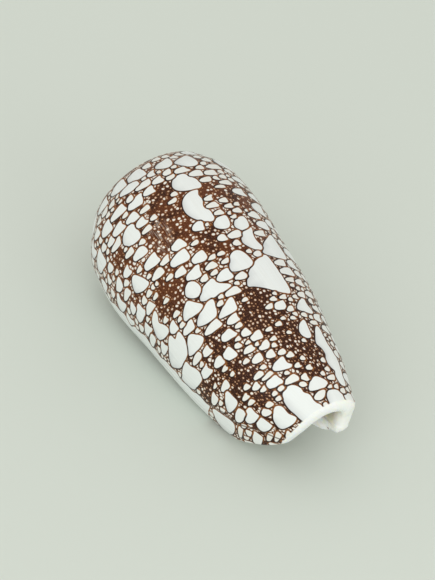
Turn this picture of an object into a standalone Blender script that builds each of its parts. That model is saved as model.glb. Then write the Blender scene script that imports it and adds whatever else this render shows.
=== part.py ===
# Cone shell: one rolled wall of shell, coiled to the right, lying on its aperture.
# The shell is lofted in its own coiling frame: the axis is Y, the spire points to +Y and
# the front end to -Y. Growth angle counts back from the outer lip, depth counts from the
# shoulder towards the front end. The object is then turned into the pose that it rests in.
import math

import bmesh
import bpy
import numpy as np

MM = 0.001
TURN = 2 * math.pi

# Outer lip: distance from the axis at each depth below the shoulder
LIP_DEPTHS_MM = (1.0, 6.0, 13.0, 23.0, 33.0, 43.0, 52.0)
LIP_RADII_MM = (11.8, 14.6, 15.4, 14.7, 14.3, 13.2, 8.6)

# How fast the wall closes in on the axis: loss of radius per radian of growth
RATE_DEPTHS_MM = (1.0, 26.0, 52.0)
CLOSING_RATES = (0.034, 0.064, 0.237)

# Front edge: its depth at each growth angle, from the lip corner over the notch and the
# curled end of the columella to the steep edge that runs back inside
EDGE_ANGLES_DEG = (0, 10, 25, 60, 160, 210, 260, 310, 360, 420, 540, 665)
EDGE_DEPTHS_MM = (40.6, 47.3, 50.7, 51.4, 51.4, 50.7, 51.8, 51.6, 44.5, 40.5, 35.5, 31.0)

# The axis bends a little towards the front end
AXIS_BEND_MM = (2.4, 2.4)
AXIS_BEND_DEPTH_MM = 50.0

SHOULDER_HEIGHT_MM = 26.0
LIP_DIRECTION_DEG = 232.0

# Spire: slope of its outline, and one whorl's ramp as radius and height over shoulder radius
SPIRE_SLOPE = 0.565
SPIRE_TURNS = 11
RAMP_RADII = (1.0, 0.955, 0.905, 0.86)
RAMP_HEIGHTS = (-0.085, -0.03, 0.0, 0.012)
SPIRE_FADE_MM = 45.0

# Wall thickness: inside, at the thin lip, at the notch and round the curled end
WALL_MM = 1.5
LIP_WALL_MM = 0.8
NOTCH_WALL_MM = 0.8
LIP_TAPER_DEG = 7.0
CURL_START_DEG = 90.0
CURL_FULL_DEG = 190.0
NOTCH_TAPER = 0.1

# Hollow: how far it reaches round the axis at the shoulder and at the front end
HOLLOW_BACK_DEG = 215.0
HOLLOW_FRONT_DEG = 300.0
HOLLOW_WIDENS_AT = 0.55
CORE_END_MM = 36.0

# Mesh steps: columns in one turn, columns round the hollow, rows from shoulder to front
TURN_COLUMNS = 40
HOLLOW_COLUMNS = 33
ROWS = 24

# Resting pose: roll about the axis, then tilt of the axis, then the floor at z = 0
REST_ROLL_DEG = -11.4
REST_TILT_DEG = 8.8

SHELL_COLOR = (0.80, 0.78, 0.72, 1.0)


def smooth_curve(stations, values):
    """Curve through the values that never overshoots between two stations."""
    x = np.array(stations, float)
    y = np.array(values, float)
    step = np.diff(x)
    slope = np.diff(y) / step
    tangent = np.concatenate(([slope[0]], np.zeros(len(x) - 2), [slope[-1]]))
    rising = slope[1:] * slope[:-1] > 0
    total = np.where(rising, slope[1:] + slope[:-1], 1.0)
    tangent[1:-1] = np.where(rising, 2 * slope[1:] * slope[:-1] / total, 0.0)

    def value(at):
        at = min(max(at, x[0]), x[-1])
        i = min(int(np.searchsorted(x, at, side="right")) - 1, len(step) - 1)
        t = (at - x[i]) / step[i]
        start = (2 * t**3 - 3 * t**2 + 1) * y[i] + (t**3 - 2 * t**2 + t) * step[i] * tangent[i]
        end = (3 * t**2 - 2 * t**3) * y[i + 1] + (t**3 - t**2) * step[i] * tangent[i + 1]
        return float(start + end)

    return value


def ramp(value, start, end):
    """0 before start, 1 after end, smooth in between."""
    t = min(max((value - start) / (end - start), 0.0), 1.0)
    return t * t * (3 - 2 * t)


lip_radius = smooth_curve(LIP_DEPTHS_MM, LIP_RADII_MM)
closing_rate = smooth_curve(RATE_DEPTHS_MM, CLOSING_RATES)
edge_depth = smooth_curve([math.radians(a) for a in EDGE_ANGLES_DEG], EDGE_DEPTHS_MM)

TOP_DEPTH_MM = LIP_DEPTHS_MM[0]
TOP_RADIUS_MM = LIP_RADII_MM[0]
TOP_RATE = CLOSING_RATES[0]
WHORL_RATIO = math.exp(-TURN * TOP_RATE)
CLIMB = SPIRE_SLOPE - RAMP_HEIGHTS[0]
APEX_HEIGHT_MM = SHOULDER_HEIGHT_MM - TOP_DEPTH_MM + TOP_RADIUS_MM * CLIMB


def shoulder_radius(growth):
    return TOP_RADIUS_MM * math.exp(-TOP_RATE * growth)


def axis_offset(depth):
    bend = (depth / AXIS_BEND_DEPTH_MM) ** 2
    return AXIS_BEND_MM[0] * bend, AXIS_BEND_MM[1] * bend


def wall_point(growth, depth, inset=0.0):
    """Point on the rolled wall, in metres, set in from its outside by the inset."""
    radius = lip_radius(depth) * math.exp(-closing_rate(depth) * growth) - inset
    angle = math.radians(LIP_DIRECTION_DEG) - growth
    fade = 1 - (depth - TOP_DEPTH_MM) / SPIRE_FADE_MM
    climb = CLIMB * (TOP_RADIUS_MM - shoulder_radius(growth)) * max(fade, 0.0)
    side, up = axis_offset(depth)
    x = radius * math.cos(angle) + side
    y = SHOULDER_HEIGHT_MM - depth + climb
    z = radius * math.sin(angle) + up
    return (x * MM, y * MM, z * MM)


def spire_point(growth, radius_share, height_share):
    shoulder = shoulder_radius(growth)
    angle = math.radians(LIP_DIRECTION_DEG) - growth
    x = shoulder * radius_share * math.cos(angle)
    y = APEX_HEIGHT_MM + shoulder * (height_share - SPIRE_SLOPE)
    z = shoulder * radius_share * math.sin(angle)
    return (x * MM, y * MM, z * MM)


def wall_thickness(growth, row_share):
    """Thin at the lip and at the notch, thick inside and round the curled end."""
    lip = math.exp(-growth / math.radians(LIP_TAPER_DEG))
    inside = WALL_MM + (LIP_WALL_MM - WALL_MM) * lip
    curl = ramp(growth, math.radians(CURL_START_DEG), math.radians(CURL_FULL_DEG))
    edge = NOTCH_WALL_MM + (WALL_MM - NOTCH_WALL_MM) * curl
    edge_share = ramp(row_share, 1 - NOTCH_TAPER, 1.0)
    return inside + (min(edge, inside) - inside) * edge_share


def hollow_reach(row_share):
    widening = ramp(row_share, HOLLOW_WIDENS_AT, 1.0)
    return math.radians(HOLLOW_BACK_DEG + (HOLLOW_FRONT_DEG - HOLLOW_BACK_DEG) * widening)


def row_depth(growth, row_share):
    return TOP_DEPTH_MM + row_share * (edge_depth(growth) - TOP_DEPTH_MM)


def add_outer_rows(bm):
    """The outside through one turn, then on round the hollow as its inner side."""
    rows = []
    for row in range(ROWS + 1):
        share = row / ROWS
        growths = [TURN * k / TURN_COLUMNS for k in range(TURN_COLUMNS + 1)]
        if row > 0:
            reach = hollow_reach(share)
            growths += [TURN + reach * (j + 1) / HOLLOW_COLUMNS for j in range(HOLLOW_COLUMNS)]
        rows.append([bm.verts.new(wall_point(g, row_depth(g, share))) for g in growths])
    return rows


def add_inner_rows(bm):
    """The inside of the outer wall, from the lip to the far end of the hollow."""
    rows = [None]
    for row in range(1, ROWS + 1):
        share = row / ROWS
        reach = hollow_reach(share)
        line = []
        for j in range(HOLLOW_COLUMNS + 1):
            growth = reach * j / HOLLOW_COLUMNS
            inset = wall_thickness(growth, share)
            line.append(bm.verts.new(wall_point(growth, row_depth(growth, share), inset)))
        rows.append(line)
    return rows


def add_body_faces(bm, outer, inner):
    for row in range(ROWS):
        above, below = outer[row], outer[row + 1]
        for k in range(len(above) - 1):
            bm.faces.new((above[k + 1], above[k], below[k], below[k + 1]))
        if row == 0:
            continue
        inner_above, inner_below = inner[row], inner[row + 1]
        for j in range(HOLLOW_COLUMNS):
            bm.faces.new((inner_above[j], inner_above[j + 1], inner_below[j + 1], inner_below[j]))
        bm.faces.new((above[0], inner_above[0], inner_below[0], below[0]))
        bm.faces.new((inner_above[-1], above[-1], below[-1], inner_below[-1]))


def add_hollow_roof(bm, outer, inner):
    for j in range(HOLLOW_COLUMNS):
        k = TURN_COLUMNS + j
        bm.faces.new((inner[1][j + 1], inner[1][j], outer[1][k], outer[1][k + 1]))


def add_front_end(bm, outer, inner):
    """The rim of the wall, and the closed end of the columella inside it."""
    rim, inside = outer[ROWS], inner[ROWS]
    for j in range(HOLLOW_COLUMNS):
        bm.faces.new((rim[j + 1], rim[j], inside[j], inside[j + 1]))
    side, up = axis_offset(CORE_END_MM)
    height = SHOULDER_HEIGHT_MM - CORE_END_MM
    core = bm.verts.new((side * MM, height * MM, up * MM))
    for k in range(HOLLOW_COLUMNS, len(rim) - 1):
        bm.faces.new((rim[k + 1], rim[k], core))
    bm.faces.new((inside[-1], rim[-1], core))
    bm.faces.new((rim[HOLLOW_COLUMNS], inside[-1], core))


def add_spire(bm, outer, inner):
    """Ramps of the whorls: each meets the one inside it along a shared suture."""
    columns = SPIRE_TURNS * TURN_COLUMNS
    apex = bm.verts.new((0, APEX_HEIGHT_MM * MM, 0))
    suture_height = SPIRE_SLOPE * (1 - WHORL_RATIO) + WHORL_RATIO * RAMP_HEIGHTS[0]
    lines = []
    for k in range(columns + 1):
        growth = TURN * k / TURN_COLUMNS
        foot = outer[0][k] if k <= TURN_COLUMNS else lines[k - TURN_COLUMNS][-1]
        line = [foot]
        for radius_share, height_share in list(zip(RAMP_RADII, RAMP_HEIGHTS))[1:]:
            line.append(bm.verts.new(spire_point(growth, radius_share, height_share)))
        if k == 0:
            line.append(outer[0][TURN_COLUMNS])
        elif k + TURN_COLUMNS <= columns:
            line.append(bm.verts.new(spire_point(growth, WHORL_RATIO, suture_height)))
        else:
            line.append(apex)
        lines.append(line)
    for line, older in zip(lines, lines[1:]):
        for j in range(len(line) - 1):
            corners = [older[j + 1], line[j + 1], line[j], older[j]]
            if corners[0] is corners[1]:
                corners.pop(0)
            bm.faces.new(corners)
    bm.faces.new(lines[-1][::-1])
    bm.faces.new([outer[1][TURN_COLUMNS], inner[1][0], outer[1][0]] + lines[0])


def build_shell():
    bm = bmesh.new()
    outer = add_outer_rows(bm)
    inner = add_inner_rows(bm)
    add_body_faces(bm, outer, inner)
    add_hollow_roof(bm, outer, inner)
    add_front_end(bm, outer, inner)
    add_spire(bm, outer, inner)
    bmesh.ops.recalc_face_normals(bm, faces=bm.faces)
    mesh = bpy.data.meshes.new("shell")
    bm.to_mesh(mesh)
    bm.free()
    return bpy.data.objects.new("shell", mesh)


def shell_material():
    material = bpy.data.materials.new("shell")
    material.use_nodes = True
    shader = material.node_tree.nodes["Principled BSDF"]
    shader.inputs["Base Color"].default_value = SHELL_COLOR
    shader.inputs["Roughness"].default_value = 0.25
    shader.inputs["Metallic"].default_value = 0.0
    return material


def lay_down(shell):
    """Turn the shell into its resting pose, over the origin and on the floor."""
    shell.rotation_mode = "YXZ"
    shell.rotation_euler = (math.radians(REST_TILT_DEG), math.radians(-REST_ROLL_DEG), 0)
    bpy.context.view_layer.update()
    points = [shell.matrix_world @ v.co for v in shell.data.vertices]
    low = [min(p[i] for p in points) for i in range(3)]
    high = [max(p[i] for p in points) for i in range(3)]
    shell.location = (-(low[0] + high[0]) / 2, -(low[1] + high[1]) / 2, -low[2])


def main():
    for old in list(bpy.data.objects):
        bpy.data.objects.remove(old, do_unlink=True)
    collection = bpy.data.collections.new("cone shell")
    bpy.context.scene.collection.children.link(collection)
    shell = build_shell()
    shell.data.materials.append(shell_material())
    collection.objects.link(shell)
    shell.data.shade_smooth()
    lay_down(shell)


main()
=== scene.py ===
# Cone shell with a tented pattern: surface, finish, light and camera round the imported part.
import math

import bpy
import numpy as np
from mathutils import Euler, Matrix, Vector


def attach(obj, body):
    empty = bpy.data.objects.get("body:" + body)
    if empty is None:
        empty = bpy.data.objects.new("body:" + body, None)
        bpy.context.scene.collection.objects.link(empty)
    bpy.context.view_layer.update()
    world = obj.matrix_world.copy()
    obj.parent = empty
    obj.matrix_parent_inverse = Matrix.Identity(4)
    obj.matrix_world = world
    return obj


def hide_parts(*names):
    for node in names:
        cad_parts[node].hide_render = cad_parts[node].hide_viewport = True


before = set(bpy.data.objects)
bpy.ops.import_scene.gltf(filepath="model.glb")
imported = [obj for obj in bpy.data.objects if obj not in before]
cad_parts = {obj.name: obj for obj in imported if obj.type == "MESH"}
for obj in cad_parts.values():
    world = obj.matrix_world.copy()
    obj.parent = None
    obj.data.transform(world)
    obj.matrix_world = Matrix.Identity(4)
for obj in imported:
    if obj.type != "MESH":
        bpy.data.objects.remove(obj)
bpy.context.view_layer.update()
mm = 0.001
print("frame loaded")

# How the wall grew: the same form as the solid, in mm and degrees. Growth angle counts back
# from the outer lip, depth counts from the shoulder towards the front end.
growth = {
    "lipDepths": (1.0, 6.0, 13.0, 23.0, 33.0, 43.0, 52.0),
    "lipRadii": (11.8, 14.6, 15.4, 14.7, 14.3, 13.2, 8.6),
    "rateDepths": (1.0, 26.0, 52.0),
    "closingRates": (0.034, 0.064, 0.237),
    "edgeAngles": (0, 10, 25, 60, 160, 210, 260, 310, 360),
    "edgeDepths": (40.6, 47.3, 50.7, 51.4, 51.4, 50.7, 51.8, 51.6, 44.5),
    "axisBend": 2.4,
    "bendDepth": 50.0,
    "shoulderHeight": 26.0,
    "lipDirection": 232.0,
    "spireSlope": 0.565,
    "rampDrop": 0.085,
    "spireFade": 45.0,
    "pastLip": 6.0,             # radians: from here round, a point may lie just past the lip
    "rollDeg": 11.4,
    "tiltDeg": 8.8,
}


def smoothCurve(stations, values):
    # a curve through the values that doesn't overshoot, for whole arrays
    x = np.array(stations, float)
    y = np.array(values, float)
    step = np.diff(x)
    slope = np.diff(y) / step
    tangent = np.concatenate(([slope[0]], np.zeros(len(x) - 2), [slope[-1]]))
    rising = slope[1:] * slope[:-1] > 0
    total = np.where(rising, slope[1:] + slope[:-1], 1.0)
    tangent[1:-1] = np.where(rising, 2 * slope[1:] * slope[:-1] / total, 0.0)

    def value(at):
        at = np.clip(at, x[0], x[-1])
        i = np.clip(np.searchsorted(x, at, side="right") - 1, 0, len(step) - 1)
        t = (at - x[i]) / step[i]
        start = (2 * t**3 - 3 * t**2 + 1) * y[i] + (t**3 - 2 * t**2 + t) * step[i] * tangent[i]
        end = (3 * t**2 - 2 * t**3) * y[i + 1] + (t**3 - t**2) * step[i] * tangent[i + 1]
        return start + end

    return value


def easeBetween(value, start, end):
    t = np.clip((value - start) / (end - start), 0.0, 1.0)
    return t * t * (3 - 2 * t)


lipRadius = smoothCurve(growth["lipDepths"], growth["lipRadii"])
closingRate = smoothCurve(growth["rateDepths"], growth["closingRates"])
edgeDepth = smoothCurve(growth["edgeAngles"], growth["edgeDepths"])
topRadius = growth["lipRadii"][0]
topRate = growth["closingRates"][0]
shoulderDepth = growth["lipDepths"][0]
climbSlope = growth["spireSlope"] + growth["rampDrop"]
apexHeight = growth["shoulderHeight"] - shoulderDepth + topRadius * climbSlope
fullTurn = 2 * math.pi
layAngles = (math.radians(growth["tiltDeg"]), math.radians(growth["rollDeg"]), 0)
layTurn = np.array(Euler(layAngles, "YXZ").to_matrix())


def meshPoints(mesh):
    points = np.zeros(len(mesh.vertices) * 3)
    mesh.vertices.foreach_get("co", points)
    return points.reshape(-1, 3)


def meshNormals(mesh):
    normals = np.zeros(len(mesh.vertices) * 3)
    mesh.vertices.foreach_get("normal", normals)
    return normals.reshape(-1, 3) @ layTurn


def findOrigin(points):
    # the coil's origin in the row frame, from the tip of the spire
    axis = layTurn[:, 1]
    apex = points[np.argmax(points @ axis)] / mm
    return apex - axis * apexHeight


coilOrigin = findOrigin(meshPoints(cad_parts["shell"].data))


def toCoil(points):
    # row frame in metres to the coiling frame in mm: its axis is Y, with the spire at +Y
    return (points / mm - coilOrigin) @ layTurn


def fromCoil(coil):
    return (coil @ layTurn.T + coilOrigin) * mm


def wallRadius(turn, depth):
    return lipRadius(depth) * np.exp(-closingRate(depth) * turn)


def axisShift(depth):
    return growth["axisBend"] * (np.clip(depth, 0, 60) / growth["bendDepth"]) ** 2


def growthPlace(coil):
    # growth angle in radians, depth in mm, distance from the axis and angle round it
    x, y, z = coil.T
    depth = growth["shoulderHeight"] - y
    # angle and depth depend on each other, and settle in a few rounds
    for repeat in range(4):
        shift = axisShift(depth)
        angle = np.arctan2(z - shift, x - shift)
        radius = np.hypot(x - shift, z - shift)
        turn = (math.radians(growth["lipDirection"]) - angle) % fullTurn
        halfway = (wallRadius(fullTurn, depth) + wallRadius(0, depth)) / 2
        pastLip = (turn > growth["pastLip"]) & (radius > halfway)
        turn = np.where(pastLip, turn - fullTurn, turn)
        fade = np.clip(1 - (depth - shoulderDepth) / growth["spireFade"], 0, 1)
        climb = climbSlope * topRadius * (1 - np.exp(-topRate * turn)) * fade
        depth = growth["shoulderHeight"] - y + climb
    return turn, depth, radius, angle


def outwardShare(normal, angle):
    # how far a normal in the coiling frame points away from the axis
    return normal[:, 0] * np.cos(angle) + normal[:, 2] * np.sin(angle)


def selectOnly(piece):
    bpy.ops.object.select_all(action="DESELECT")
    piece.select_set(True)
    bpy.context.view_layer.objects.active = piece


# the shell's fine surface, in mm where it is a length
surface = {
    "mergeDistance": 0.01,
    "quadDeg": 60.0,
    "cuts": 3,
    "wallLimit": 1.62,          # what lies deeper is an older whorl
    "rimAngles": (0, 30, 60, 160, 210, 250, 300),
    "rimExtra": (0.3, 0.9, 1.6, 1.7, 2.2, 1.8, 0.6),        # how much fuller the rim is inside
    "rimForward": (0.0, 0.1, 0.25, 0.4, 0.6, 0.6, 0.3),     # and how far it reaches forward
    "rimReach": 6.0,
    "rimDepth": 0.8,            # the swelling is full from here in from the outside
    "rimEnd": 305,              # growth angle where it ends
    "rimTop": 20,               # depth above which there is none
    "faceShare": 0.93,          # an outside face lies beyond this share of the wall's radius
    "faceOutward": 0.3,         # and faces outwards by at least this
    "pointShare": 0.95,         # the same for points
    "pointOutward": 0.5,
    "edgeFade": (0.3, 1.6),     # how far from the lip and the front edge the exact curve starts
    "topFade": (1.0, 3.0),      # and at which depth
}


def thickenRim(mesh):
    # the front edge of the wall swells inwards and forwards, so that it ends in a full rim
    coil = toCoil(meshPoints(mesh))
    turn, depth, radius, angle = growthPlace(coil)
    degrees = np.degrees(turn)
    inset = wallRadius(turn, depth) - radius
    onWall = inset < surface["wallLimit"]
    onWall = onWall & (degrees < surface["rimEnd"]) & (depth > surface["rimTop"])
    near = easeBetween(edgeDepth(degrees) - depth, surface["rimReach"], 0) * onWall
    share = near * np.clip(inset / surface["rimDepth"], 0, 1)
    extra = np.interp(degrees, surface["rimAngles"], surface["rimExtra"]) * share
    coil[:, 0] -= extra * np.cos(angle)
    coil[:, 1] -= np.interp(degrees, surface["rimAngles"], surface["rimForward"]) * near
    coil[:, 2] -= extra * np.sin(angle)
    mesh.vertices.foreach_set("co", fromCoil(coil).ravel())
    mesh.update()


def outsideFaces(mesh):
    # the faces of the body whorl's outside, from the shoulder to the front edge
    centers = np.zeros(len(mesh.polygons) * 3)
    normals = np.zeros(len(mesh.polygons) * 3)
    mesh.polygons.foreach_get("center", centers)
    mesh.polygons.foreach_get("normal", normals)
    normal = normals.reshape(-1, 3) @ layTurn
    turn, depth, radius, angle = growthPlace(toCoil(centers.reshape(-1, 3)))
    facing = outwardShare(normal, angle) > surface["faceOutward"]
    onWall = radius > surface["faceShare"] * wallRadius(turn, depth)
    return facing & onWall & (depth > shoulderDepth)


def trueOutside(mesh):
    # sets the outside on its exact growth curve, except at its rounded rims
    coil = toCoil(meshPoints(mesh))
    normal = meshNormals(mesh)
    turn, depth, radius, angle = growthPlace(coil)
    facing = outwardShare(normal, angle) > surface["pointOutward"]
    target = wallRadius(turn, depth)
    weight = easeBetween(edgeDepth(np.degrees(turn)) - depth, *surface["edgeFade"])
    weight = weight * easeBetween(turn * radius, *surface["edgeFade"])
    weight = weight * easeBetween(depth, *surface["topFade"])
    weight = weight * facing * (radius > surface["pointShare"] * target)
    change = weight * (target - radius)
    coil[:, 0] += change * np.cos(angle)
    coil[:, 2] += change * np.sin(angle)
    mesh.vertices.foreach_set("co", fromCoil(coil).ravel())
    mesh.update()


def makeShell():
    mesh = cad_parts["shell"].data.copy()
    shell = bpy.data.objects.new("coneShell", mesh)
    bpy.context.scene.collection.objects.link(shell)
    selectOnly(shell)
    mesh.materials.clear()
    bpy.ops.object.mode_set(mode="EDIT")
    bpy.ops.mesh.select_all(action="SELECT")
    bpy.ops.mesh.remove_doubles(threshold=surface["mergeDistance"] * mm)
    quadAngle = math.radians(surface["quadDeg"])
    bpy.ops.mesh.tris_convert_to_quads(face_threshold=quadAngle, shape_threshold=quadAngle)
    bpy.ops.object.mode_set(mode="OBJECT")
    thickenRim(mesh)
    bpy.ops.object.modifier_add(type="SUBSURF")
    shell.modifiers["Subdivision"].levels = 1
    shell.modifiers["Subdivision"].render_levels = 1
    bpy.ops.object.modifier_apply(modifier="Subdivision")
    chosen = outsideFaces(shell.data)
    bpy.ops.object.mode_set(mode="EDIT")
    bpy.ops.mesh.select_mode(type="FACE")
    bpy.ops.mesh.select_all(action="DESELECT")
    bpy.ops.object.mode_set(mode="OBJECT")
    shell.data.polygons.foreach_set("select", chosen)
    bpy.ops.object.mode_set(mode="EDIT")
    bpy.ops.mesh.subdivide(number_cuts=surface["cuts"], smoothness=1.0)
    bpy.ops.object.mode_set(mode="OBJECT")
    bpy.ops.object.shade_smooth()
    trueOutside(shell.data)
    return shell


shell = makeShell()
triangles = sum(len(face.vertices) - 2 for face in shell.data.polygons)
print("shell surface:", len(shell.data.vertices), "vertices,", triangles, "triangles")

# The tents with a shape of their own, drawn from nose to base and back:
# growth angle in degrees and depth in mm at each point
drawnTents = (
    ((110, 14), (112, 12.5), (116, 11.6), (121, 11.2), (126, 11.3), (124, 12.3), (124.5, 13.4),
     (122, 14.6), (124.5, 15.8), (123.5, 17.4), (119, 17.3), (114, 16.4), (111, 15.3)),
    ((113, 9.2), (115, 8.1), (119, 7.4), (125, 7.4), (127.5, 8.3), (130.5, 9.5), (130, 10.9),
     (126, 11.1), (120, 10.8), (115, 10.2)),
    ((125.5, 4.6), (129, 3.9), (135, 3.4), (141, 3), (142, 4.4), (141, 5.9), (136, 6.4), (130, 6)),
    ((112, 3.8), (115, 3), (120, 2.7), (126.5, 2.3), (125, 4.1), (121, 4.9), (116, 4.7)),
    ((131.5, 22.6), (134, 21.4), (139, 20.6), (146, 20.2), (143.5, 21.6), (143, 22.9), (145, 24.3),
     (141, 24.7), (136, 24.2), (133, 23.4)),
    ((141.5, 25.2), (147, 23.6), (154, 22.5), (162.5, 21.5), (164, 23.6), (163, 26.3), (155, 26.5),
     (147, 26)),
    ((111, 26.4), (114, 25.2), (118, 24), (123, 23.6), (127, 24.2), (129, 25.8), (128, 27),
     (122, 27.2), (115, 27)),
    ((114.5, 29.9), (120, 28.2), (128, 26.8), (136, 26), (142.5, 25.7), (144, 28), (144.5, 31),
     (143.5, 32.7), (140, 33.1), (132, 32.4), (124, 31.2), (118, 30.4)),
    ((140, 35.9), (145, 34.8), (151, 34.1), (154, 34.2), (154, 35.2), (157, 36.3), (155, 36.8),
     (148, 36.6)),
    ((128.5, 39.7), (132, 38.6), (137, 38), (140.5, 37.9), (139.5, 39.4), (138, 40.6), (134, 40.9),
     (130, 40.6)),
    ((138.5, 41.9), (143, 40.6), (148, 39.4), (153, 38.9), (154.5, 40.4), (154, 41.8), (157, 43.2),
     (160, 44.6), (159, 46.6), (158, 48.6), (150, 48.7), (145, 48.3), (143, 47.2), (145.5, 46.5),
     (142, 46), (139.5, 45.3), (140, 44.5), (142.5, 43.8), (141.5, 42.8)),
    ((100.5, 48.1), (106, 47.2), (113, 46.7), (118, 46.8), (126, 47.9), (120, 48.5), (110, 48.5)),
    ((112.5, 50.3), (117, 49.4), (125, 49), (134, 49.2), (139, 49.8), (140, 50.7), (138, 52),
     (113, 52)),
    ((98, 49.4), (104, 48.9), (112, 48.7), (117, 48.9), (111, 49.7), (103, 49.9)),
    ((26.5, 29.6), (31, 28.9), (37, 28.4), (46, 27.5), (49, 27.8), (49.5, 28.7), (56, 28.4),
     (55.5, 30), (53.5, 30.7), (50, 31.7), (42, 31.9), (34, 31.6), (29, 30.6)),
    ((24, 32.3), (30, 32.1), (42, 32), (42.5, 33.2), (44.5, 34.4), (43.5, 35.7), (40, 36),
     (32, 35.6), (25, 34.8)),
    ((36.5, 25.6), (40, 24.2), (45, 23.2), (52, 22.9), (51.5, 23.8), (48, 24.6), (50.5, 25.7),
     (51, 26.9), (46, 27), (40, 26.5)),
    ((77, 25.7), (79, 24.8), (82, 24.3), (86, 24.2), (88.5, 25.4), (87.5, 26.7), (84, 27),
     (80, 26.7)),
    ((64.5, 28.3), (68, 27.2), (73, 26.5), (76, 26.4), (79, 27.4), (82, 28.5), (79, 29),
     (72, 28.8)),
    ((82.5, 27.8), (87, 26.6), (93, 26.1), (98, 26), (99.5, 27.2), (105, 28.3), (104, 28.8),
     (95, 28.8), (88, 28.6)),
    ((69.5, 30.4), (74, 29.5), (82, 28.9), (89.5, 28.5), (88, 30), (84, 31.3), (78, 31.3),
     (73, 31)),
    ((48.5, 32.2), (53, 31.2), (59, 30.3), (63, 30.7), (67, 32.3), (62, 32.9), (54, 32.8)),
    ((84, 31.9), (89, 31.1), (95, 30.5), (100.5, 30.2), (99.5, 31.6), (97.5, 32.4), (90, 32.3)),
    ((33, 42.2), (38, 41.2), (44, 40.6), (49, 40.2), (48.5, 41.6), (47, 42.7), (40, 42.8)),
    ((4.5, 41.7), (9, 40.4), (16, 39.6), (24, 39.3), (26, 41), (26.5, 43.3), (20, 43.8),
     (12, 43.4), (7, 42.7)),
    ((69.5, 49.5), (71, 48.2), (76, 46.8), (84, 46.1), (91, 46.3), (95, 47.2), (94, 47.9),
     (97.5, 48.6), (96.5, 49.9), (100, 50.6), (99, 52), (70, 52)),
    ((45.5, 49.4), (50, 48.2), (57, 47.5), (64, 47.1), (68, 47.7), (65.5, 48.9), (67, 50),
     (60, 50.3), (51, 50)),
    ((50, 18.2), (53, 17), (57, 16.4), (60, 17), (63.5, 19.3), (58, 19.5), (53, 19)),
    ((66, 11.8), (68, 10.8), (72, 10.2), (78, 10), (79.5, 11.2), (79, 12.9), (75, 13.2),
     (69, 12.8)),
    ((120.5, 18.4), (124, 17.4), (129, 17.2), (132.5, 17.4), (131.5, 18.9), (128, 19.5),
     (123, 19.2)),
    ((133.5, 19.6), (136, 18.6), (140, 18.1), (145, 18), (146, 19), (143.5, 20.3), (137, 20.5)),
)

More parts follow.
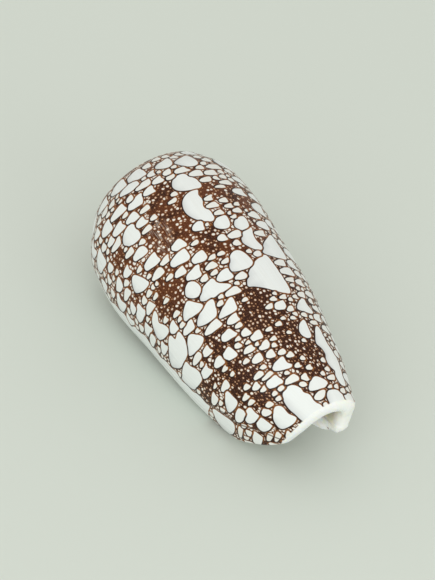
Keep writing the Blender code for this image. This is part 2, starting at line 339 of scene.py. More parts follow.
# Plainer tents seen in the photo: where each begins towards the lip and ends towards older
# shell, in degrees of growth, then its depth and its width in mm
plainTents = (
    (160, 176, 16.0, 2.8), (80, 97, 4.3, 2.3), (90, 105, 2.6, 3.2), (92, 104, 5.7, 1.5),
    (54, 66, 7.0, 2.2), (66, 82, 6.7, 1.9), (81, 95, 7.6, 2.1), (62, 75, 9.0, 1.9),
    (75, 86, 9.5, 1.7), (86, 94, 9.8, 1.1), (55, 67, 10.5, 1.4), (79, 89, 11.3, 1.7),
    (80, 88, 12.9, 1.0), (61, 70, 13.5, 1.2), (37, 48, 14.9, 1.9), (51, 60, 15.2, 1.7),
    (65, 77, 15.0, 2.0), (31, 47, 9.0, 3.2), (24, 38, 16.2, 2.8), (67, 80, 17.5, 2.2),
    (37, 48, 16.9, 1.6), (76, 86, 18.9, 1.3), (66, 77, 19.6, 1.6), (82, 96, 20.2, 2.3),
    (32, 47, 20.7, 2.3), (54, 62, 20.5, 1.1), (44, 56, 21.9, 1.7), (79, 88, 22.0, 1.7),
    (94, 105, 22.0, 2.0), (28, 40, 23.0, 2.1), (84, 97, 23.7, 2.3), (22, 35, 24.4, 1.7),
    (98, 107, 24.2, 1.3), (14, 30, 18.6, 2.4), (103, 113, 6.5, 1.4), (112, 120, 7.1, 1.2),
    (120, 132, 6.6, 1.4), (127, 138, 8.1, 1.5), (138, 149, 8.5, 1.5), (131, 141, 9.8, 1.3),
    (125, 133, 13.5, 1.2), (123, 133, 14.9, 1.2), (125, 133, 16.5, 1.2), (107, 116, 17.4, 1.8),
    (117, 124, 20.8, 1.4), (124, 135, 21.0, 1.5), (150, 162, 17.7, 1.7), (153, 166, 19.6, 2.0),
    (145, 156, 21.4, 1.4), (150, 163, 12.9, 1.8), (144, 155, 10.9, 1.3), (144, 158, 7.0, 1.6),
    (161, 176, 9.6, 2.0), (28, 40, 27.2, 1.9), (50, 59, 27.4, 2.0), (57, 70, 29.5, 1.7),
    (97, 109, 29.6, 1.4), (69, 84, 32.3, 1.7), (45, 58, 33.6, 1.3), (56, 66, 34.2, 1.6),
    (86, 96, 33.4, 1.6), (75, 87, 34.8, 1.7), (42, 55, 36.0, 1.9), (57, 68, 36.8, 1.6),
    (66, 77, 37.1, 1.9), (91, 101, 37.5, 1.5), (80, 91, 38.5, 1.3), (28, 40, 39.2, 1.5),
    (45, 56, 39.8, 1.3), (91, 101, 39.3, 1.4), (80, 90, 40.4, 1.4), (91, 99, 40.9, 1.4),
    (30, 44, 44.0, 1.9), (35, 51, 45.4, 2.1), (64, 72, 43.4, 1.2), (73, 88, 44.5, 2.0),
    (86, 102, 45.6, 1.2), (8, 30, 47.2, 1.7), (110, 120, 28.0, 1.4), (121, 132, 34.8, 1.6),
    (145, 160, 29.1, 1.7), (145, 157, 27.4, 1.4), (145, 157, 30.6, 1.0), (155, 167, 31.0, 1.6),
    (149, 159, 33.4, 1.3), (160, 174, 33.0, 1.6), (153, 167, 37.4, 1.8), (160, 172, 35.5, 1.4),
    (159, 173, 39.2, 1.6), (140, 147, 37.0, 1.0), (145, 155, 38.4, 1.0), (122, 129, 33.4, 1.0),
    (104, 109, 31.7, 0.8), (115, 122, 34.4, 1.0), (129, 137, 35.7, 1.1), (130, 138, 33.5, 0.9),
    (113, 119, 37.4, 0.9), (120, 125, 36.8, 0.7), (128, 134, 37.2, 0.9), (104, 110, 37.5, 0.8),
    (102, 108, 39.1, 0.9), (117, 122, 39.2, 0.7), (99, 105, 40.0, 0.9), (125, 130, 41.1, 0.8),
    (104, 111, 42.4, 1.0), (113, 118, 43.6, 0.8), (104, 111, 44.3, 0.9), (132, 138, 44.7, 1.0),
    (112, 120, 45.2, 0.9), (123, 129, 46.6, 0.8), (131, 138, 46.1, 0.9), (128, 141, 47.4, 1.0),
    (51, 59, 43.3, 1.0), (59, 66, 42.4, 0.9), (67, 74, 44.3, 0.9), (42, 48, 38.4, 0.7),
    (60, 65, 39.5, 0.8), (58, 65, 38.1, 0.9), (74, 80, 39.6, 0.9), (57, 66, 46.3, 0.9),
    (50, 58, 44.3, 0.8), (69, 76, 46.6, 0.9), (77, 85, 45.8, 0.9), (75, 88, 43.3, 0.9),
    (71, 81, 42.4, 1.1), (61, 67, 23.6, 0.9), (60, 67, 26.4, 0.9), (51, 57, 25.5, 1.1),
    (73, 80, 21.4, 0.9), (57, 63, 21.7, 0.9), (61, 67, 16.7, 1.0), (104, 111, 11.4, 0.9),
    (134, 141, 14.5, 1.1), (135, 144, 15.7, 1.0), (142, 149, 15.5, 0.9), (139, 147, 16.8, 1.1),
    (138, 147, 11.7, 0.8), (103, 110, 23.0, 0.9), (110, 116, 23.1, 0.8), (109, 116, 24.6, 0.9),
    (100, 106, 19.5, 0.8), (12, 28, 44.7, 0.9), (22, 35, 48.7, 0.8), (26, 42, 49.6, 0.9),
)

# Brown patches with few tents: middle angle, middle depth, half sizes in degrees and mm, and
# how dark each is; the last seven are on the hidden side
brownPatches = (
    (102, 13.5, 11, 6.0, 1.0), (56, 12.0, 10, 2.4, 0.9), (147, 13.6, 16, 2.8, 0.7),
    (76, 22.0, 10, 3.0, 0.8), (113, 35.5, 20, 6.5, 1.0), (64, 41.5, 18, 5.5, 0.9),
    (113, 20.8, 14, 3.0, 0.75), (122, 43.0, 21, 4.5, 1.0), (88, 15.0, 9, 3.0, 0.8),
    (66, 24.0, 13, 3.2, 0.85), (133, 11.5, 12, 2.6, 0.8), (155, 14.0, 18, 2.6, 0.8),
    (74, 35.0, 16, 2.2, 0.7), (35, 38.0, 11, 2.4, 0.7), (107, 9.0, 7, 2.0, 0.9),
    (104, 24.5, 9, 2.2, 0.5), (150, 31.5, 8, 1.6, 0.4), (52, 37.6, 10, 1.4, 0.8),
    (45, 18.5, 6, 1.4, 0.7), (205, 31.0, 16, 7.0, 1.0), (228, 13.0, 15, 4.5, 1.0),
    (262, 34.0, 15, 6.0, 1.0), (290, 16.0, 16, 4.0, 0.9), (325, 28.0, 14, 7.0, 0.9),
    (345, 10.0, 12, 3.0, 0.8), (190, 22.0, 10, 2.6, 0.7),
)

patchEdge = (0.75, 1.15)        # a patch fades out between these shares of its half sizes

tentStyle = {
    "seed": 7,
    "classes": 9,
    "gap": 0.26,                # line left between two tents that touch
    "reach": 0.9,               # how far round a tent its distance is kept
    "touching": 0.8,            # tents nearer than this get different classes
    "layerRange": (-2.0, 1.0),  # distances that are stored, in mm
    "along": (0.0, 0.03, 0.12, 0.3, 0.55, 0.82, 0.98),      # a tent's outline from nose to base
    "swell": (0.0, 0.25, 0.48, 0.7, 0.88, 0.96, 0.84),
    "lean": (-0.2, 0.2),
    "fullness": (0.82, 1.05),
    "notchedShare": 0.3,        # share of the tents with a notch in their base
    "notch": (0.06, 0.22),      # how deep it is, by the tent's length
    "blunt": (-0.04, 0.03),     # how far the base of the others curves
    "baseShift": (-0.12, 0.12),
    "wobble": 0.018,
    "roundFrom": 1.3,           # outlines of wider tents are rounded
    "shadeReach": 0.75,         # grey shade inside the nose of the larger tents
    "shadeSides": (0.2, 1.0),
    "shadeSizes": (0.5, 1.6),
}

# the plain white margin along the lip, in degrees and mm
lipMargin = {
    "start": 23.0,
    "waves": ((1.2, 0.9), (0.8, 2.3)),      # size and rate of the waves of its edge
    "narrowing": 5.0,           # how much narrower it is towards the shoulder
    "narrowDepths": (20, 8),
    "mmPerDegree": 0.24,
    "end": 37.6,                # depth where it stops
    "endLean": 0.04,
    "grow": 0.1,
    "side": -0.5,               # it counts as a large tent, and its line as one near the base
    "size": 3.0,
}

# an old growth mark across the lip, in degrees and mm
oldMark = {
    "angle": 24.0,
    "start": 35.0,
    "lean": 0.62,
    "wave": (0.8, 1.1),
    "mmPerDegree": 0.22,
    "reach": 2.0,
}

# The tents that fill the rest, on a grid that keeps how much room is left: their widths from
# large to small, with how often each is tried
filling = {
    "sizes": ((3.3, 90), (2.6, 300), (2.0, 1000), (1.55, 2600), (1.2, 5000), (0.9, 7000)),
    "degStep": 0.5,
    "mmStep": 0.15,
    "degEnd": 365,
    "mmEnd": 53,
    "beyond": 1.2,              # how far round a tent the room is taken, in mm
    "angles": (4, 360),
    "depths": (1.2, 51.2),
    "roomShare": 0.44,          # room that its middle needs, by its width
    "overlap": 0.06,            # and how far it may reach into another
    "skipRate": 1.6,            # how often it is left out in brown patches
    "skipLess": 0.1,
    "widthSpread": (0.85, 1.15),
    "lengthSpread": (1.0, 1.45),
}
farAway = 9.0                   # mm


def brownAt(turnDeg, depth):
    dark = np.zeros(np.broadcast(turnDeg, depth).shape)
    for angle, middle, halfAngle, halfDepth, strength in brownPatches:
        away = np.hypot((turnDeg - angle) / halfAngle, (depth - middle) / halfDepth)
        dark = np.maximum(dark, strength * (1 - easeBetween(away, *patchEdge)))
    return dark


def roundOutline(points):
    # a smooth closed line through the points
    before, after, beyond = np.roll(points, 1, 0), np.roll(points, -1, 0), np.roll(points, -2, 0)
    bend = 2 * before - 5 * points + 4 * after - beyond
    curl = 3 * points - before - 3 * after + beyond
    steps = []
    for t in (0.0, 0.33, 0.67):
        steps.append(points + 0.5 * (t * (after - before) + t**2 * bend + t**3 * curl))
    return np.stack(steps, 1).reshape(-1, 2)


def millimetresPerDegree(angle, depth):
    return float(wallRadius(math.radians(angle), depth)) * math.radians(1)


def makeTent(outline, angle, depth):
    # the outline is in mm round the tent's middle, x towards older shell and y towards the front
    low, high = outline.min(0), outline.max(0)
    return {
        "angle": angle,
        "depth": depth,
        "scale": millimetresPerDegree(angle, depth),
        "outline": outline,
        "halfLength": (high[0] - low[0]) / 2,
        "halfWidth": (high[1] - low[1]) / 2,
    }


def drawnTent(corners):
    points = np.array(corners, float)
    angle, depth = (points.min(0) + points.max(0)) / 2
    points = points - (angle, depth)
    points[:, 0] *= millimetresPerDegree(angle, depth)
    return makeTent(roundOutline(points), angle, depth)


def grownTent(start, end, depth, width, chance):
    # a narrow round nose, full sides and a blunt base, now and then notched
    style = tentStyle
    angle = (start + end) / 2
    length = (end - start) * millimetresPerDegree(angle, depth)
    along = np.array(style["along"])
    swell = 0.5 * np.array(style["swell"])
    lean = chance.uniform(*style["lean"])
    upperSwell = swell * chance.uniform(*style["fullness"])
    lowerSwell = -swell * chance.uniform(*style["fullness"])
    upper = np.stack([along * (1 - max(lean, 0)) - 0.5, upperSwell], 1)
    lower = np.stack([along * (1 + min(lean, 0)) - 0.5, lowerSwell], 1)
    notched = chance.uniform() < style["notchedShare"]
    notch = chance.uniform(*style["notch"] if notched else style["blunt"])
    base = [(0.5 - abs(lean) / 2 - notch, chance.uniform(*style["baseShift"]))]
    outline = np.vstack([upper, base, lower[:0:-1]]) * (length, width)
    outline = outline + chance.normal(0, style["wobble"] * width, outline.shape)
    if width > style["roundFrom"]:
        outline = roundOutline(outline)
    return makeTent(outline, angle, depth)


def outlineDistance(outline, x, y):
    # signed distance to a closed outline, below 0 inside it
    startX, startY = outline[:, 0:1], outline[:, 1:2]
    endX, endY = np.roll(startX, -1, 0), np.roll(startY, -1, 0)
    runX, runY = endX - startX, endY - startY
    share = np.clip(((x - startX) * runX + (y - startY) * runY) / (runX**2 + runY**2 + 1e-9), 0, 1)
    away = np.hypot(x - startX - share * runX, y - startY - share * runY).min(0)
    runY = np.where(np.abs(runY) < 1e-9, 1e-9, runY)
    crossed = ((startY > y) != (endY > y)) & (x < startX + runX * (y - startY) / runY)
    return np.where(crossed.sum(0) % 2 == 1, -away, away)


def tentDistance(tent, turnDeg, depth):
    # distance in mm to the tent's outline, and which end is near: 1 lip side, -1 older side
    x = (turnDeg - tent["angle"]) * tent["scale"]
    y = depth - tent["depth"]
    u, w = x / tent["halfLength"], y / tent["halfWidth"]
    side = -u / np.maximum(np.hypot(u, w), 0.05)
    return outlineDistance(tent["outline"], x, y), side


def marginDistance(turnDeg, depth):
    # distance in mm to the plain margin of the lip
    edge = lipMargin["start"]
    for height, rate in lipMargin["waves"]:
        edge = edge + height * np.sin(depth * rate)
    edge = edge - lipMargin["narrowing"] * easeBetween(depth, *lipMargin["narrowDepths"])
    beside = (turnDeg - edge) * lipMargin["mmPerDegree"]
    return np.maximum(beside, depth - lipMargin["end"] - lipMargin["endLean"] * turnDeg)


def placeTents():
    # the tents from the photo, then ever smaller ones wherever there is room
    chance = np.random.default_rng(tentStyle["seed"])
    tents = [drawnTent(corners) for corners in drawnTents]
    tents += [grownTent(*numbers, chance) for numbers in plainTents]
    degStep = filling["degStep"]
    mmStep = filling["mmStep"]
    beyond = filling["beyond"]
    angles = np.arange(0, filling["degEnd"], degStep)
    depths = np.arange(0, filling["mmEnd"], mmStep)
    room = marginDistance(angles[:, None], depths[None, :])

    def occupy(tent):
        spanDeg = (tent["halfLength"] + beyond) / tent["scale"] + 1
        first = max(int((tent["angle"] - spanDeg) / degStep), 0)
        last = int((tent["angle"] + spanDeg) / degStep) + 1
        top = max(int((tent["depth"] - tent["halfWidth"] - beyond) / mmStep), 0)
        low = int((tent["depth"] + tent["halfWidth"] + beyond) / mmStep) + 1
        x, y = np.meshgrid(angles[first:last], depths[top:low], indexing="ij")
        distance = tentDistance(tent, x.ravel(), y.ravel())[0].reshape(x.shape)
        room[first:last, top:low] = np.minimum(room[first:last, top:low], distance)

    for tent in tents:
        occupy(tent)
    for width, tries in filling["sizes"]:
        tryAngles = chance.uniform(*filling["angles"], tries)
        tryDepths = chance.uniform(*filling["depths"], tries)
        for angle, depth in zip(tryAngles, tryDepths):
            roomHere = room[int(angle / degStep), int(depth / mmStep)]
            if roomHere < width * filling["roomShare"]:
                continue
            dark = float(brownAt(angle, depth))
            if chance.uniform() < dark * filling["skipRate"] - filling["skipLess"]:
                continue
            size = width * chance.uniform(*filling["widthSpread"])
            length = size * chance.uniform(*filling["lengthSpread"])
            span = length / millimetresPerDegree(angle, depth)
            tent = grownTent(angle - span / 2, angle + span / 2, depth, size, chance)
            i = (angle + tent["outline"][:, 0] / tent["scale"]) / degStep
            j = (depth + tent["outline"][:, 1]) / mmStep
            i = np.clip(i, 0, len(angles) - 1).astype(int)
            j = np.clip(j, 0, len(depths) - 1).astype(int)
            if room[i, j].min() < -filling["overlap"] * width:
                continue
            tents.append(tent)
            occupy(tent)
    return tents


tents = placeTents()
print("tents placed:", len(tents))


def nearTents(turnDeg, depth):
    # the tents close to each point: arrays of point, tent, distance and side
    order = np.argsort(depth)
    sortedDepth = depth[order]
    found = []
    for number, tent in enumerate(tents):
        reach = tent["halfWidth"] + tentStyle["reach"]
        first = np.searchsorted(sortedDepth, tent["depth"] - reach)
        last = np.searchsorted(sortedDepth, tent["depth"] + reach)
        points = order[first:last]
        spanDeg = (tent["halfLength"] + tentStyle["reach"]) / tent["scale"]
        points = points[np.abs(turnDeg[points] - tent["angle"]) < spanDeg]
        if len(points) == 0:
            continue
        distance, side = tentDistance(tent, turnDeg[points], depth[points])
        near = distance < tentStyle["reach"]
        found.append((points[near], np.full(near.sum(), number), distance[near], side[near]))
    distance = marginDistance(turnDeg, depth)
    near = (distance < tentStyle["reach"]) & (depth > shoulderDepth)
    points = np.nonzero(near)[0]
    margin = np.full(len(points), len(tents))
    side = np.full(len(points), lipMargin["side"])
    found.append((points, margin, distance[near] - lipMargin["grow"], side))
    return [np.concatenate(parts) for parts in zip(*found)]


def sortIntoClasses(pairs, count):
    # neighbouring tents get different classes, so that each class keeps clean outlines
    neighbours = [set() for n in range(count)]
    for a, b in pairs:
        neighbours[a].add(b)
        neighbours[b].add(a)
    classes = np.full(count, -1)
    for number in sorted(range(count), key=lambda n: -len(neighbours[n])):
        taken = [classes[n] for n in neighbours[number]]
        classes[number] = min(range(tentStyle["classes"]), key=lambda c: (taken.count(c), c))
    return classes


def paintTents(turnDeg, depth):
    # layers of distances to tents, and for the nearest tent its side, shade and size
    style = tentStyle
    point, tent, distance, side = nearTents(turnDeg, depth)
    order = np.lexsort((distance, point))
    point, tent, distance, side = point[order], tent[order], distance[order], side[order]
    start = np.nonzero(np.concatenate(([True], point[1:] != point[:-1])))[0]
    rank = np.arange(len(point)) - np.repeat(start, np.diff(np.append(start, len(point))))
    nearest = np.full(len(depth), farAway)
    second = np.full(len(depth), farAway)
    nearest[point[rank == 0]] = distance[rank == 0]
    second[point[rank == 1]] = distance[rank == 1]
    other = np.where(rank == 0, second[point], nearest[point])
    kept = np.maximum(distance, (distance - other) / 2 + style["gap"] / 2)
    pairs = set()
    for back in (1, 2, 3):
        close = (rank[back:] >= back) & (distance[back:] < style["touching"])
        for a, b in zip(tent[back:][close], tent[:-back][close]):
            pairs.add((min(a, b), max(a, b)))
    classes = sortIntoClasses(pairs, len(tents) + 1)
    layers = np.full((len(depth), style["classes"]), style["layerRange"][1])
    np.minimum.at(layers, (point, classes[tent]), np.clip(kept, *style["layerRange"]))
    sizes = [min(t["halfLength"], t["halfWidth"]) for t in tents]
    sizes = np.array(sizes + [lipMargin["size"]])
    sides = np.zeros(len(depth))
    shade = np.zeros(len(depth))
    size = np.zeros(len(depth))
    first = rank == 0
    sides[point[first]] = side[first]
    firstSize = sizes[tent[first]]
    size[point[first]] = firstSize
    inward = np.clip(1 + distance[first] / (style["shadeReach"] * firstSize), 0, 1) ** 2
    noseShare = easeBetween(side[first], *style["shadeSides"])
    noseShare = noseShare * easeBetween(firstSize, *style["shadeSizes"])
    shade[point[first]] = inward * noseShare * (tent[first] < len(tents))
    return layers, sides, shade, size


def spirePlace(turn, radius):
    # on the spire: growth angle through all whorls, and place across the whorl from 0 to 1
    reached = -np.log(np.maximum(radius, 0.05) / topRadius) / topRate
    whorl = np.floor((reached - turn) / fullTurn)
    grown = turn + whorl * fullTurn
    return grown, (reached - grown) / fullTurn


paintZones = {
    "outward": 0.25,            # the pattern is on points that face outwards by this
    "top": 0.9,                 # and lie deeper than this, in mm
    "spireUp": 0.1,             # or face the spire by this, above the shoulder
    "rimWhite": 0.5,            # mm left white along the front edge
    "mmPerRadian": 12.0,
    "spireStretch": (0.6, 0.12),
    "spireTop": -4.0,           # keeps places on the spire apart from those on the wall
    "paintedSheen": (89, 15, 8, 3.6),   # middle angle, middle depth and half sizes of a patch of painted reflection
    "paintedSheenEdge": (0.6, 1.2),
    "insideFade": (1.0, 6.0),   # mm in from the front edge where the rim's white ends
}


def storeVector(mesh, name, values):
    attribute = mesh.attributes.new(name, "FLOAT_VECTOR", "POINT")
    attribute.data.foreach_set("vector", np.ascontiguousarray(values, dtype=np.float32).ravel())


def paintShell(mesh):
    zones = paintZones
    normal = meshNormals(mesh)
    turn, depth, radius, angle = growthPlace(toCoil(meshPoints(mesh)))
    turnDeg = np.degrees(turn)
    onSpire = (depth < shoulderDepth) & (normal[:, 1] > zones["spireUp"])
    onWall = radius > surface["pointShare"] * wallRadius(turn, depth)
    onWall = onWall & (outwardShare(normal, angle) > zones["outward"]) & (depth >= zones["top"])

    # distances to the tents, three to an attribute
    layers, sides, shade, size = paintTents(turnDeg, depth)
    for number in range(tentStyle["classes"] // 3):
        storeVector(mesh, "tents" + str(number), layers[:, 3 * number:3 * number + 3])
    storeVector(mesh, "tentTone", np.stack([sides, shade, brownAt(turnDeg, depth)], 1))

    # where the pattern is, the distance to the old mark and the size of the nearest tent
    height, rate = oldMark["wave"]
    mark = oldMark["angle"] + oldMark["lean"] * (depth - oldMark["start"])
    mark = mark + height * np.sin(depth * rate)
    markAway = np.abs(turnDeg - mark) * oldMark["mmPerDegree"]
    markAway = np.minimum(markAway + farAway * (depth < oldMark["start"]), oldMark["reach"])
    patterned = np.clip(0.5 + edgeDepth(turnDeg) - zones["rimWhite"] - depth, 0, 1)
    patterned = np.maximum(patterned * onWall, onSpire)
    storeVector(mesh, "skin", np.stack([patterned, markAway, size], 1))

    # place along and across the growth in mm, then how strong the painted reflection on the
    # pattern is, or on bare shell how far inside it lies
    grown, across = spirePlace(turn, radius)
    spiral = topRadius * np.exp(-topRate * grown)
    alongShare, acrossShare = zones["spireStretch"]
    spireAlong = alongShare * (topRadius - spiral) / topRate
    along = np.where(onSpire, spireAlong, turn * zones["mmPerRadian"])
    down = np.where(onSpire, acrossShare * across * spiral + zones["spireTop"], depth)
    sheenAngle, sheenDepth, halfAngle, halfDepth = zones["paintedSheen"]
    away = np.hypot((turnDeg - sheenAngle) / halfAngle, (depth - sheenDepth) / halfDepth)
    paintedSheen = 1 - easeBetween(away, *zones["paintedSheenEdge"])
    within = easeBetween(edgeDepth(turnDeg) - depth, *zones["insideFade"])
    third = np.where(patterned > 0.9, paintedSheen, within)
    storeVector(mesh, "growth", np.stack([along, down, third], 1))


paintShell(shell.data)
print("pattern stored on the surface")


# Short ways to add and join shader nodes
def join(tree, value, socket):
    if isinstance(value, (int, float, tuple)):
        socket.default_value = value
    else:
        tree.links.new(value, socket)


def mathNode(tree, operation, first, second=0.0):
    node = tree.nodes.new("ShaderNodeMath")
    node.operation = operation
    join(tree, first, node.inputs[0])
    join(tree, second, node.inputs[1])
    return node.outputs[0]


def rangeNode(tree, value, start, end, low=0.0, high=1.0):
    node = tree.nodes.new("ShaderNodeMapRange")
    node.interpolation_type = "SMOOTHSTEP"
    for socket, number in zip(node.inputs, (value, start, end, low, high)):
        join(tree, number, socket)
    return node.outputs["Result"]


def mixNode(tree, share, first, second, blend="MIX"):
    node = tree.nodes.new("ShaderNodeMix")
    node.data_type = "RGBA"
    node.blend_type = blend
    join(tree, share, node.inputs[0])
    join(tree, first, node.inputs[6])
    join(tree, second, node.inputs[7])
    return node.outputs[2]


def readVector(tree, name):
    node = tree.nodes.new("ShaderNodeAttribute")
    node.attribute_name = name
    split = tree.nodes.new("ShaderNodeSeparateXYZ")
    tree.links.new(node.outputs["Vector"], split.inputs[0])
    return node.outputs["Vector"], split.outputs


def stretchNode(tree, vector, scale):
    node = tree.nodes.new("ShaderNodeMapping")
    join(tree, vector, node.inputs["Vector"])
    node.inputs["Scale"].default_value = scale
    return node.outputs["Vector"]


def noiseNode(tree, vector, scale, detail=2.0):
    node = tree.nodes.new("ShaderNodeTexNoise")
    node.noise_dimensions = "2D"
    join(tree, vector, node.inputs["Vector"])
    node.inputs["Scale"].default_value = scale
    node.inputs["Detail"].default_value = detail
    return node.outputs


def cellNode(tree, vector, scale, feature, randomness=1.0):
    node = tree.nodes.new("ShaderNodeTexVoronoi")
    node.voronoi_dimensions = "2D"
    node.feature = feature
    join(tree, vector, node.inputs["Vector"])
    node.inputs["Scale"].default_value = scale
    node.inputs["Randomness"].default_value = randomness
    return node.outputs


# colours of the shell, then sizes of its pattern in mm and ranges of noise
shellFinish = {
    "white": (0.79, 0.83, 0.82, 1),
    "smallWhite": (0.78, 0.78, 0.73, 1),
    "rim": (0.84, 0.86, 0.82, 1),
    "inside": (0.94, 0.90, 0.75, 1),
    "greyShade": (0.40, 0.42, 0.45, 1),
    "noseShade": 0.45,
    "line": (0.022, 0.008, 0.005, 1),
    "amber": (0.30, 0.11, 0.022, 1),
    "darkBrown": (0.033, 0.009, 0.003, 1),
    "redBrown": (0.100, 0.027, 0.006, 1),
    "dots": (0.60, 0.42, 0.29, 1),
    "fineDots": (0.20, 0.085, 0.045, 1),
    # greyish colour of the painted reflection on the brown
    "paintedSheen": (0.30, 0.24, 0.20, 1),
    "mark": (0.07, 0.04, 0.025, 1),
    "bands": (0.86, 0.80, 0.74, 1),
    "edgeSoft": 0.03,                   # softness of a tent's outline
    "cloudPerMm": 0.28,
    "redClouds": (0.3, 0.55),
    "redDepths": (32.0, 20.0),          # the brown gets redder from the first depth up
    "bendsPerMm": 0.9,
    "bendShare": 0.12,
    "finePerMm": 3.1,
    "fineSizes": (0.32, 0.12),
    "fineShare": 0.5,
    # stretch and noise range of the painted reflection's streaks
    "sheenStretch": (5.0, 0.5, 1.0),
    "sheenNoise": (0.45, 0.7),
    "cellsPerMm": 1.55,
    "dotSizes": (0.1, 0.33),
    "dotGrowth": 0.17,                  # how much larger the dots are outside brown patches
    "dotGap": 0.09,                     # ground between two dots
    "tentGap": 0.24,                    # and between a dot and a large tent
    "dotEdge": (0.04, -0.05),
    "ringEdge": (0.2, 0.02),
    "ringShare": 0.7,
    "baseSides": (0.15, -0.6),
    "lineSides": (-0.9, 0.6),
    "lineWidths": (0.09, 0.2),          # of the line round a tent, at its base and at its nose
    "lineSoft": 0.05,
    "whiteSizes": (0.3, 1.0),
    "markEdge": (0.30, 0.08),
    "markShare": 0.8,
    "growthStretch": (3.2, 0.12, 1.0),
    "bandNoise": (0.35, 0.7),
    "bandShare": 0.14,
    "threadStretch": (0.15, 2.6, 1.0),
    "threadShare": 0.6,
    "bumpStrength": 0.16,
    "bumpHeight": 0.0002,               # m
    "roughness": (0.25, 0.38),
    "specular": 0.18,
    "glow": 1.0,                        # of bare shell
    "glowDepth": 0.0035,                # m
    "glowRadius": (1.0, 0.85, 0.6),
}


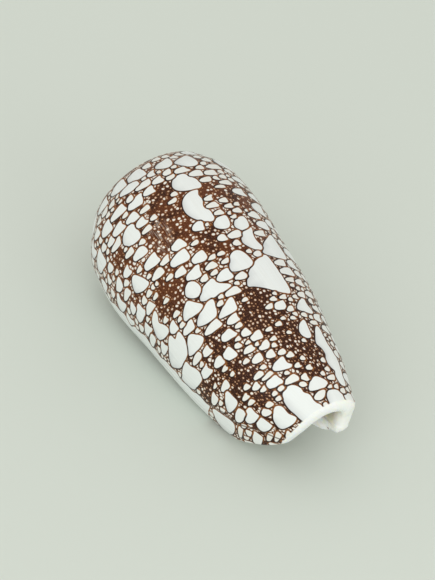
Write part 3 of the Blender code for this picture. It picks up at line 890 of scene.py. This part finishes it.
def makeShellMaterial():
    look = shellFinish
    material = bpy.data.materials.new("shellGlaze")
    material.use_nodes = True
    tree = material.node_tree
    shader = tree.nodes["Principled BSDF"]
    place, placeParts = readVector(tree, "growth")
    side, shade, brown = readVector(tree, "tentTone")[1]
    outside, markAway, size = readVector(tree, "skin")[1]
    distance = tentStyle["layerRange"][1]
    for number in range(tentStyle["classes"] // 3):
        for layer in readVector(tree, "tents" + str(number))[1]:
            distance = mathNode(tree, "MINIMUM", layer, distance)
    fill = rangeNode(tree, distance, look["edgeSoft"], -look["edgeSoft"])

    # brown ground: redder towards the shoulder and in clouds
    cloud = noiseNode(tree, place, look["cloudPerMm"], 3.0)[0]
    upper = rangeNode(tree, placeParts[1], *look["redDepths"])
    redShare = mathNode(tree, "MULTIPLY", rangeNode(tree, cloud, *look["redClouds"]), upper)
    ground = mixNode(tree, redShare, look["darkBrown"], look["redBrown"])

    # the finest dots, then a painted reflection, streaked along the growth lines
    wander = noiseNode(tree, place, look["bendsPerMm"], 1.0)[1]
    bentPlace = mixNode(tree, look["bendShare"], place, wander, "LINEAR_LIGHT")
    fineDots = cellNode(tree, bentPlace, look["finePerMm"], "F1", 0.9)["Distance"]
    fineShare = rangeNode(tree, fineDots, *look["fineSizes"], 0.0, look["fineShare"])
    ground = mixNode(tree, fineShare, ground, look["fineDots"])
    sheenGrain = noiseNode(tree, stretchNode(tree, place, look["sheenStretch"]), 1.0, 3.0)[0]
    sheenStreaks = rangeNode(tree, sheenGrain, *look["sheenNoise"])
    sheenStreaks = mathNode(tree, "MULTIPLY", sheenStreaks, placeParts[2])
    ground = mixNode(tree, sheenStreaks, ground, look["paintedSheen"])

    # dots in the brown patches, growing to small tents between the large ones
    cells = cellNode(tree, bentPlace, look["cellsPerMm"], "F1")
    cellEdge = cellNode(tree, bentPlace, look["cellsPerMm"], "DISTANCE_TO_EDGE")["Distance"]
    cellChance = tree.nodes.new("ShaderNodeSeparateColor")
    join(tree, cells["Color"], cellChance.inputs[0])
    dotSize = rangeNode(tree, cellChance.outputs[0], 0.1, 1.0, *look["dotSizes"])
    larger = rangeNode(tree, brown, 0.2, 0.8, look["dotGrowth"], 0.0)
    dotSize = mathNode(tree, "ADD", dotSize, larger)
    outOfDot = mathNode(tree, "SUBTRACT", cells["Distance"], dotSize)
    betweenDots = mathNode(tree, "SUBTRACT", look["dotGap"], cellEdge)
    outOfDot = mathNode(tree, "MAXIMUM", outOfDot, betweenDots)
    nearTent = mathNode(tree, "SUBTRACT", look["tentGap"], distance)
    outOfDot = mathNode(tree, "MAXIMUM", outOfDot, nearTent)
    ring = rangeNode(tree, outOfDot, *look["ringEdge"], 0.0, look["ringShare"])
    ground = mixNode(tree, ring, ground, look["amber"])
    paleShare = rangeNode(tree, dotSize, 0.15, 0.35)
    dotColor = mixNode(tree, paleShare, look["dots"], look["smallWhite"])
    ground = mixNode(tree, rangeNode(tree, outOfDot, *look["dotEdge"]), ground, dotColor)

    # the line round each large tent: dark at its nose, amber at its base
    base = rangeNode(tree, side, *look["baseSides"])
    lineColor = mixNode(tree, base, look["line"], look["amber"])
    lineWidth = rangeNode(tree, side, *look["lineSides"], *look["lineWidths"])
    pastLine = mathNode(tree, "SUBTRACT", distance, lineWidth)
    onLine = rangeNode(tree, pastLine, look["lineSoft"], -look["lineSoft"])
    ground = mixNode(tree, onLine, ground, lineColor)

    # the tents themselves, then the old growth mark over them
    whiteShare = rangeNode(tree, size, *look["whiteSizes"])
    tentWhite = mixNode(tree, whiteShare, look["smallWhite"], look["white"])
    noseShade = mathNode(tree, "MULTIPLY", shade, look["noseShade"])
    tentColor = mixNode(tree, noseShade, tentWhite, look["greyShade"])
    color = mixNode(tree, fill, ground, tentColor)
    mark = rangeNode(tree, markAway, *look["markEdge"])
    mark = mathNode(tree, "MULTIPLY", mark, look["markShare"])
    color = mixNode(tree, mark, color, look["mark"])

    # growth lines across the whorl, as faint bands of colour and as relief
    lines = noiseNode(tree, stretchNode(tree, place, look["growthStretch"]), 1.0, 4.0)[0]
    bands = rangeNode(tree, lines, *look["bandNoise"], 0.0, look["bandShare"])
    color = mixNode(tree, bands, color, look["bands"], "MULTIPLY")

    # bare shell on the rim and inside
    bare = mixNode(tree, placeParts[2], look["rim"], look["inside"])
    color = mixNode(tree, rangeNode(tree, outside, 0.4, 0.6), bare, color)
    tree.links.new(color, shader.inputs["Base Color"])

    threads = noiseNode(tree, stretchNode(tree, place, look["threadStretch"]), 1.0, 1.0)[0]
    threads = mathNode(tree, "MULTIPLY", threads, look["threadShare"])
    bump = tree.nodes.new("ShaderNodeBump")
    bump.inputs["Strength"].default_value = look["bumpStrength"]
    bump.inputs["Distance"].default_value = look["bumpHeight"]
    tree.links.new(mathNode(tree, "ADD", lines, threads), bump.inputs["Height"])
    tree.links.new(bump.outputs["Normal"], shader.inputs["Normal"])
    roughness = rangeNode(tree, lines, 0.3, 0.7, *look["roughness"])
    tree.links.new(roughness, shader.inputs["Roughness"])
    shader.inputs["Specular IOR Level"].default_value = look["specular"]

    # light passes a little way into the bare shell of the rim and the inside
    glow = rangeNode(tree, outside, 0.4, 0.6, look["glow"], 0.0)
    tree.links.new(glow, shader.inputs["Subsurface Weight"])
    shader.inputs["Subsurface Radius"].default_value = look["glowRadius"]
    shader.inputs["Subsurface Scale"].default_value = look["glowDepth"]
    return material


shell.data.materials.append(makeShellMaterial())
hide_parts("shell")
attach(shell, "root")
print("shell finished")

# Floor, light and camera: lengths in m
studio = {
    "floorSize": 3.0,
    "floorColor": (0.645, 0.70, 0.645, 1),
    "floorRoughness": 0.7,
    "worldColor": (1.0, 0.985, 0.94, 1),
    "worldStrength": 0.82,
    "keyPower": 3.2,
    "keySize": 1.0,
    "keyPlace": (-0.65, -0.55, 0.55),
    "fillPower": 1.0,
    "fillSize": 0.5,
    "fillPlace": (0.05, -0.85, 0.32),
}


def makeFloor():
    bpy.ops.object.select_all(action="DESELECT")
    bpy.ops.mesh.primitive_plane_add(size=studio["floorSize"])
    floor = bpy.context.active_object
    floor.name = "floor"
    material = bpy.data.materials.new("paleFloor")
    material.use_nodes = True
    shader = material.node_tree.nodes["Principled BSDF"]
    shader.inputs["Base Color"].default_value = studio["floorColor"]
    shader.inputs["Roughness"].default_value = studio["floorRoughness"]
    floor.data.materials.append(material)


def makeLights():
    world = bpy.data.worlds.new("softRoom")
    bpy.context.scene.world = world
    world.use_nodes = True
    background = world.node_tree.nodes["Background"]
    background.inputs["Color"].default_value = studio["worldColor"]
    background.inputs["Strength"].default_value = studio["worldStrength"]
    for name in ("key", "fill"):
        place = Vector(studio[name + "Place"])
        bpy.ops.object.light_add(type="AREA", location=place)
        light = bpy.context.active_object
        light.name = name + "Light"
        light.data.energy = studio[name + "Power"]
        light.data.size = studio[name + "Size"]
        light.rotation_euler = (-place).to_track_quat("-Z", "Y").to_euler()


cameraPlace = {
    "location": (-187.5, -250.7, 291.9),    # mm
    "turn": (47.95, -6.50, -30.86),         # degrees
    "lens": 167.0,
    "clipStart": 0.01,                      # m
}


def makeCamera():
    location = [value * mm for value in cameraPlace["location"]]
    turn = [math.radians(value) for value in cameraPlace["turn"]]
    bpy.ops.object.camera_add(location=location, rotation=turn)
    camera = bpy.context.active_object
    camera.data.lens = cameraPlace["lens"]
    camera.data.clip_start = cameraPlace["clipStart"]
    bpy.context.scene.camera = camera


makeFloor()
makeLights()
makeCamera()
bpy.context.scene.view_settings.view_transform = "Standard"
print("floor, lights and camera placed")
